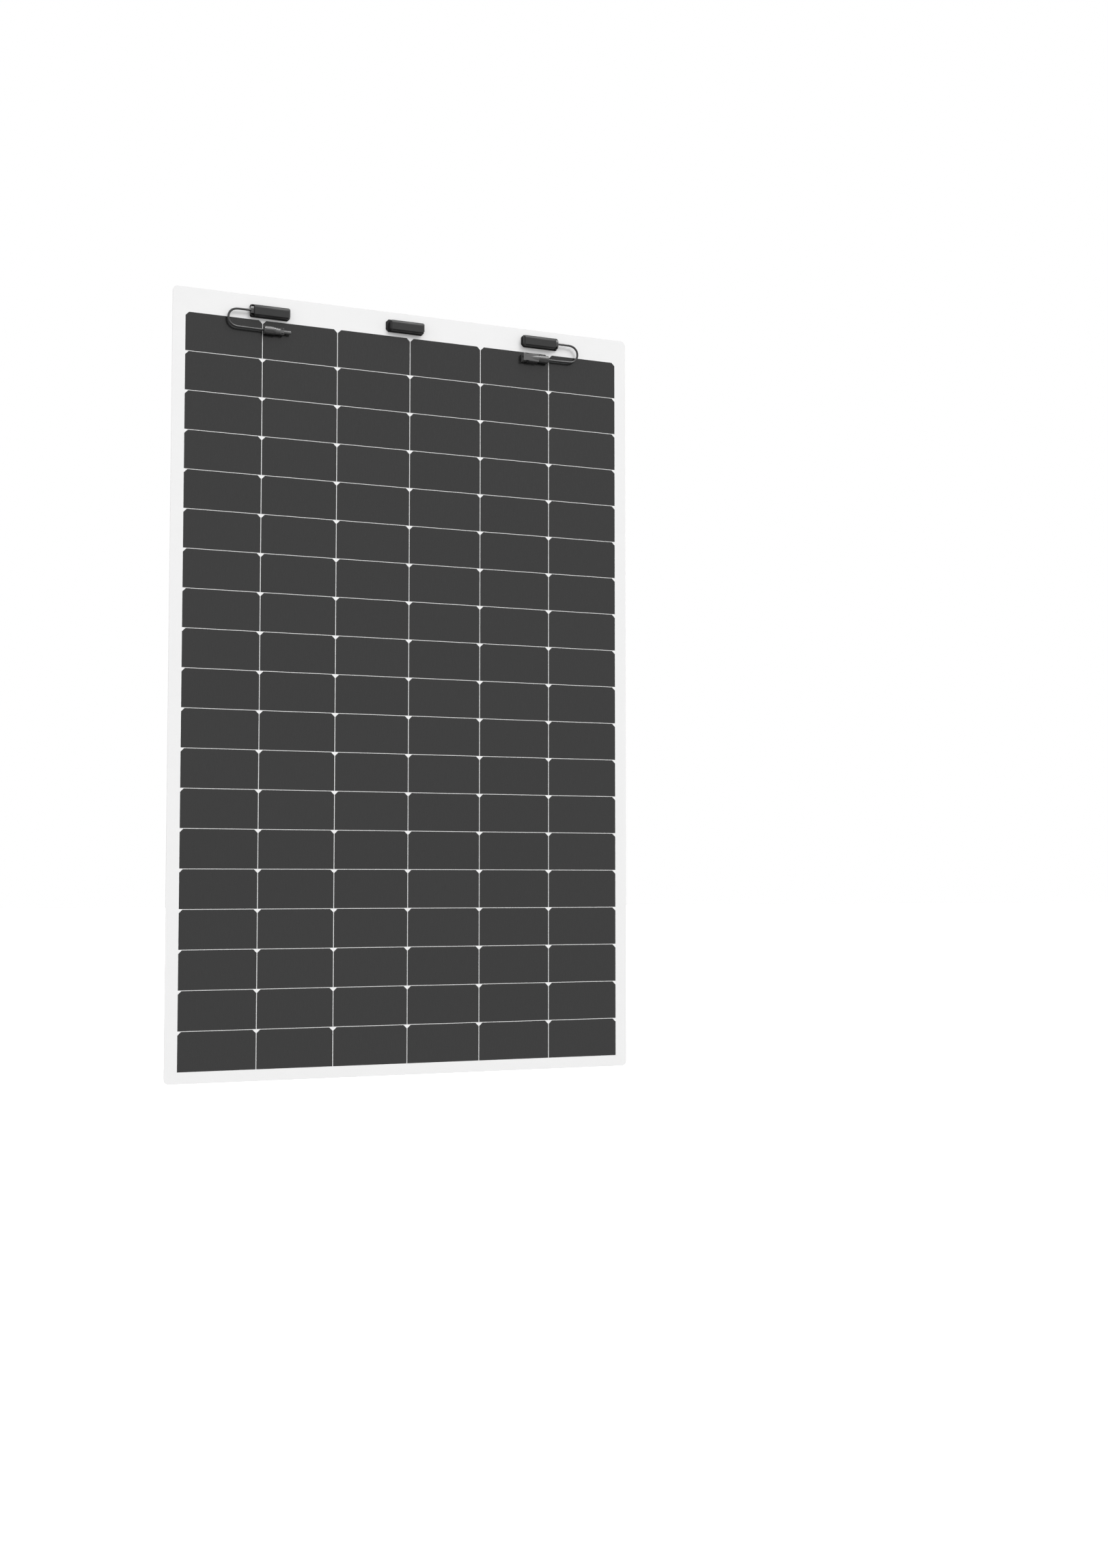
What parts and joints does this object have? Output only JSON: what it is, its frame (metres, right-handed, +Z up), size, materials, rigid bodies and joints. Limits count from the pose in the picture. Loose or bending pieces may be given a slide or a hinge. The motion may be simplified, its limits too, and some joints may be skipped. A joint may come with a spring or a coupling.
{
  "type": "flexible solar sheet",
  "caption": "Thin white bendable solar laminate with a grid of dark half-cut cells, low junction boxes along its top edge and two short cable loops with plug and socket connectors.",
  "frame": {"origin": "on the flat back face of the sheet, at the centre of the middle row of cells (the face by which the sheet is bonded)", "axes": "+Z up along the long side towards the junction boxes, +X to the right along the short side when looking at the cells, +Y out of the back face"},
  "size_m": [1.16, 0.0229, 1.8536],
  "materials": {
    "laminate": "white weatherproof laminate, satin, with a very fine speckle",
    "cell": "dark grey silicon under a clear film, satin gloss, with faint fine lines",
    "ribbon": "tinned copper, satin",
    "box_plastic": "dark grey moulded plastic, satin",
    "lock_plastic": "light grey moulded plastic",
    "diode": "black moulded epoxy",
    "cable": "dark grey cross-linked sheath, satin",
    "connector_plastic": "dark grey moulded plastic, satin, fine grain",
    "contact_metal": "tinned copper, polished by use",
    "seal_rubber": "black silicone rubber"
  },
  "bodies": {
    "strip_01": {"laminate_01": "laminate", "cells_01": "cell", "bus_ribbons_top": "ribbon", "box_base_left": "box_plastic", "box_base_middle": "box_plastic", "box_base_right": "box_plastic", "box_lid_left": "box_plastic", "box_lid_middle": "box_plastic", "box_lid_right": "box_plastic", "bypass_diodes": "diode", "terminals": "ribbon", "cable_clamps": "box_plastic", "clamp_locks": "lock_plastic", "cable_left": "cable", "cable_right": "cable", "socket_body": "connector_plastic", "socket_nut": "connector_plastic", "plug_body": "connector_plastic", "plug_nut": "connector_plastic", "contacts": "contact_metal", "cable_seals": "seal_rubber"},
    "strip_02": {"laminate_02": "laminate", "cells_02": "cell"},
    "strip_03": {"laminate_03": "laminate", "cells_03": "cell"},
    "strip_04": {"laminate_04": "laminate", "cells_04": "cell"},
    "strip_05": {"laminate_05": "laminate", "cells_05": "cell"},
    "strip_06": {"laminate_06": "laminate", "cells_06": "cell"},
    "strip_07": {"laminate_07": "laminate", "cells_07": "cell"},
    "strip_08": {"laminate_08": "laminate", "cells_08": "cell"},
    "strip_09": {"laminate_09": "laminate", "cells_09": "cell"},
    "strip_10": {"laminate_10": "laminate", "cells_10": "cell"},
    "strip_11": {"laminate_11": "laminate", "cells_11": "cell"},
    "strip_12": {"laminate_12": "laminate", "cells_12": "cell"},
    "strip_13": {"laminate_13": "laminate", "cells_13": "cell"},
    "strip_14": {"laminate_14": "laminate", "cells_14": "cell"},
    "strip_15": {"laminate_15": "laminate", "cells_15": "cell"},
    "strip_16": {"laminate_16": "laminate", "cells_16": "cell"},
    "strip_17": {"laminate_17": "laminate", "cells_17": "cell"},
    "strip_18": {"laminate_18": "laminate", "cells_18": "cell"},
    "strip_19": {"laminate_19": "laminate", "cells_19": "cell", "bus_ribbons_bottom": "ribbon"},
    "latch_upper": {"latch_upper": "connector_plastic"},
    "latch_lower": {"latch_lower": "connector_plastic"}
  },
  "joints": [
    {"name": "bend_09", "type": "hinge", "parent": "strip_10", "child": "strip_09", "pos_m": [0, 0, 0.04654], "axis": [-1, 0, 0], "range_deg": [0, 11.5], "stiffness_Nm_per_rad": 82},
    {"name": "bend_08", "type": "hinge", "parent": "strip_09", "child": "strip_08", "pos_m": [0, 0, 0.13962], "axis": [-1, 0, 0], "range_deg": [0, 11.5], "stiffness_Nm_per_rad": 82},
    {"name": "bend_07", "type": "hinge", "parent": "strip_08", "child": "strip_07", "pos_m": [0, 0, 0.2327], "axis": [-1, 0, 0], "range_deg": [0, 11.5], "stiffness_Nm_per_rad": 82},
    {"name": "bend_06", "type": "hinge", "parent": "strip_07", "child": "strip_06", "pos_m": [0, 0, 0.32578], "axis": [-1, 0, 0], "range_deg": [0, 11.5], "stiffness_Nm_per_rad": 82},
    {"name": "bend_05", "type": "hinge", "parent": "strip_06", "child": "strip_05", "pos_m": [0, 0, 0.41886], "axis": [-1, 0, 0], "range_deg": [0, 11.5], "stiffness_Nm_per_rad": 82},
    {"name": "bend_04", "type": "hinge", "parent": "strip_05", "child": "strip_04", "pos_m": [0, 0, 0.51194], "axis": [-1, 0, 0], "range_deg": [0, 11.5], "stiffness_Nm_per_rad": 82},
    {"name": "bend_03", "type": "hinge", "parent": "strip_04", "child": "strip_03", "pos_m": [0, 0, 0.60502], "axis": [-1, 0, 0], "range_deg": [0, 11.5], "stiffness_Nm_per_rad": 82},
    {"name": "bend_02", "type": "hinge", "parent": "strip_03", "child": "strip_02", "pos_m": [0, 0, 0.6981], "axis": [-1, 0, 0], "range_deg": [0, 11.5], "stiffness_Nm_per_rad": 82},
    {"name": "bend_01", "type": "hinge", "parent": "strip_02", "child": "strip_01", "pos_m": [0, 0, 0.79118], "axis": [-1, 0, 0], "range_deg": [0, 11.5], "stiffness_Nm_per_rad": 82},
    {"name": "bend_10", "type": "hinge", "parent": "strip_10", "child": "strip_11", "pos_m": [0, 0, -0.04654], "axis": [1, 0, 0], "range_deg": [0, 11.5], "stiffness_Nm_per_rad": 82},
    {"name": "bend_11", "type": "hinge", "parent": "strip_11", "child": "strip_12", "pos_m": [0, 0, -0.13962], "axis": [1, 0, 0], "range_deg": [0, 11.5], "stiffness_Nm_per_rad": 82},
    {"name": "bend_12", "type": "hinge", "parent": "strip_12", "child": "strip_13", "pos_m": [0, 0, -0.2327], "axis": [1, 0, 0], "range_deg": [0, 11.5], "stiffness_Nm_per_rad": 82},
    {"name": "bend_13", "type": "hinge", "parent": "strip_13", "child": "strip_14", "pos_m": [0, 0, -0.32578], "axis": [1, 0, 0], "range_deg": [0, 11.5], "stiffness_Nm_per_rad": 82},
    {"name": "bend_14", "type": "hinge", "parent": "strip_14", "child": "strip_15", "pos_m": [0, 0, -0.41886], "axis": [1, 0, 0], "range_deg": [0, 11.5], "stiffness_Nm_per_rad": 82},
    {"name": "bend_15", "type": "hinge", "parent": "strip_15", "child": "strip_16", "pos_m": [0, 0, -0.51194], "axis": [1, 0, 0], "range_deg": [0, 11.5], "stiffness_Nm_per_rad": 82},
    {"name": "bend_16", "type": "hinge", "parent": "strip_16", "child": "strip_17", "pos_m": [0, 0, -0.60502], "axis": [1, 0, 0], "range_deg": [0, 11.5], "stiffness_Nm_per_rad": 82},
    {"name": "bend_17", "type": "hinge", "parent": "strip_17", "child": "strip_18", "pos_m": [0, 0, -0.6981], "axis": [1, 0, 0], "range_deg": [0, 11.5], "stiffness_Nm_per_rad": 82},
    {"name": "bend_18", "type": "hinge", "parent": "strip_18", "child": "strip_19", "pos_m": [0, 0, -0.79118], "axis": [1, 0, 0], "range_deg": [0, 11.5], "stiffness_Nm_per_rad": 82},
    {"name": "latch_upper_press", "type": "hinge", "parent": "strip_01", "child": "latch_upper", "pos_m": [0.326, -0.013, 0.8762], "axis": [0, -1, 0], "range_deg": [0, 3.5], "stiffness_Nm_per_rad": 2},
    {"name": "latch_lower_press", "type": "hinge", "parent": "strip_01", "child": "latch_lower", "pos_m": [0.326, -0.013, 0.8588], "axis": [0, 1, 0], "range_deg": [0, 3.5], "stiffness_Nm_per_rad": 2}
  ],
  "couplings": [
    {"joint": "bend_08", "follows": "bend_09", "ratio": 1},
    {"joint": "bend_07", "follows": "bend_09", "ratio": 1},
    {"joint": "bend_06", "follows": "bend_09", "ratio": 1},
    {"joint": "bend_05", "follows": "bend_09", "ratio": 1},
    {"joint": "bend_04", "follows": "bend_09", "ratio": 1},
    {"joint": "bend_03", "follows": "bend_09", "ratio": 1},
    {"joint": "bend_02", "follows": "bend_09", "ratio": 1},
    {"joint": "bend_01", "follows": "bend_09", "ratio": 1},
    {"joint": "bend_10", "follows": "bend_09", "ratio": 1},
    {"joint": "bend_11", "follows": "bend_09", "ratio": 1},
    {"joint": "bend_12", "follows": "bend_09", "ratio": 1},
    {"joint": "bend_13", "follows": "bend_09", "ratio": 1},
    {"joint": "bend_14", "follows": "bend_09", "ratio": 1},
    {"joint": "bend_15", "follows": "bend_09", "ratio": 1},
    {"joint": "bend_16", "follows": "bend_09", "ratio": 1},
    {"joint": "bend_17", "follows": "bend_09", "ratio": 1},
    {"joint": "bend_18", "follows": "bend_09", "ratio": 1}
  ]
}
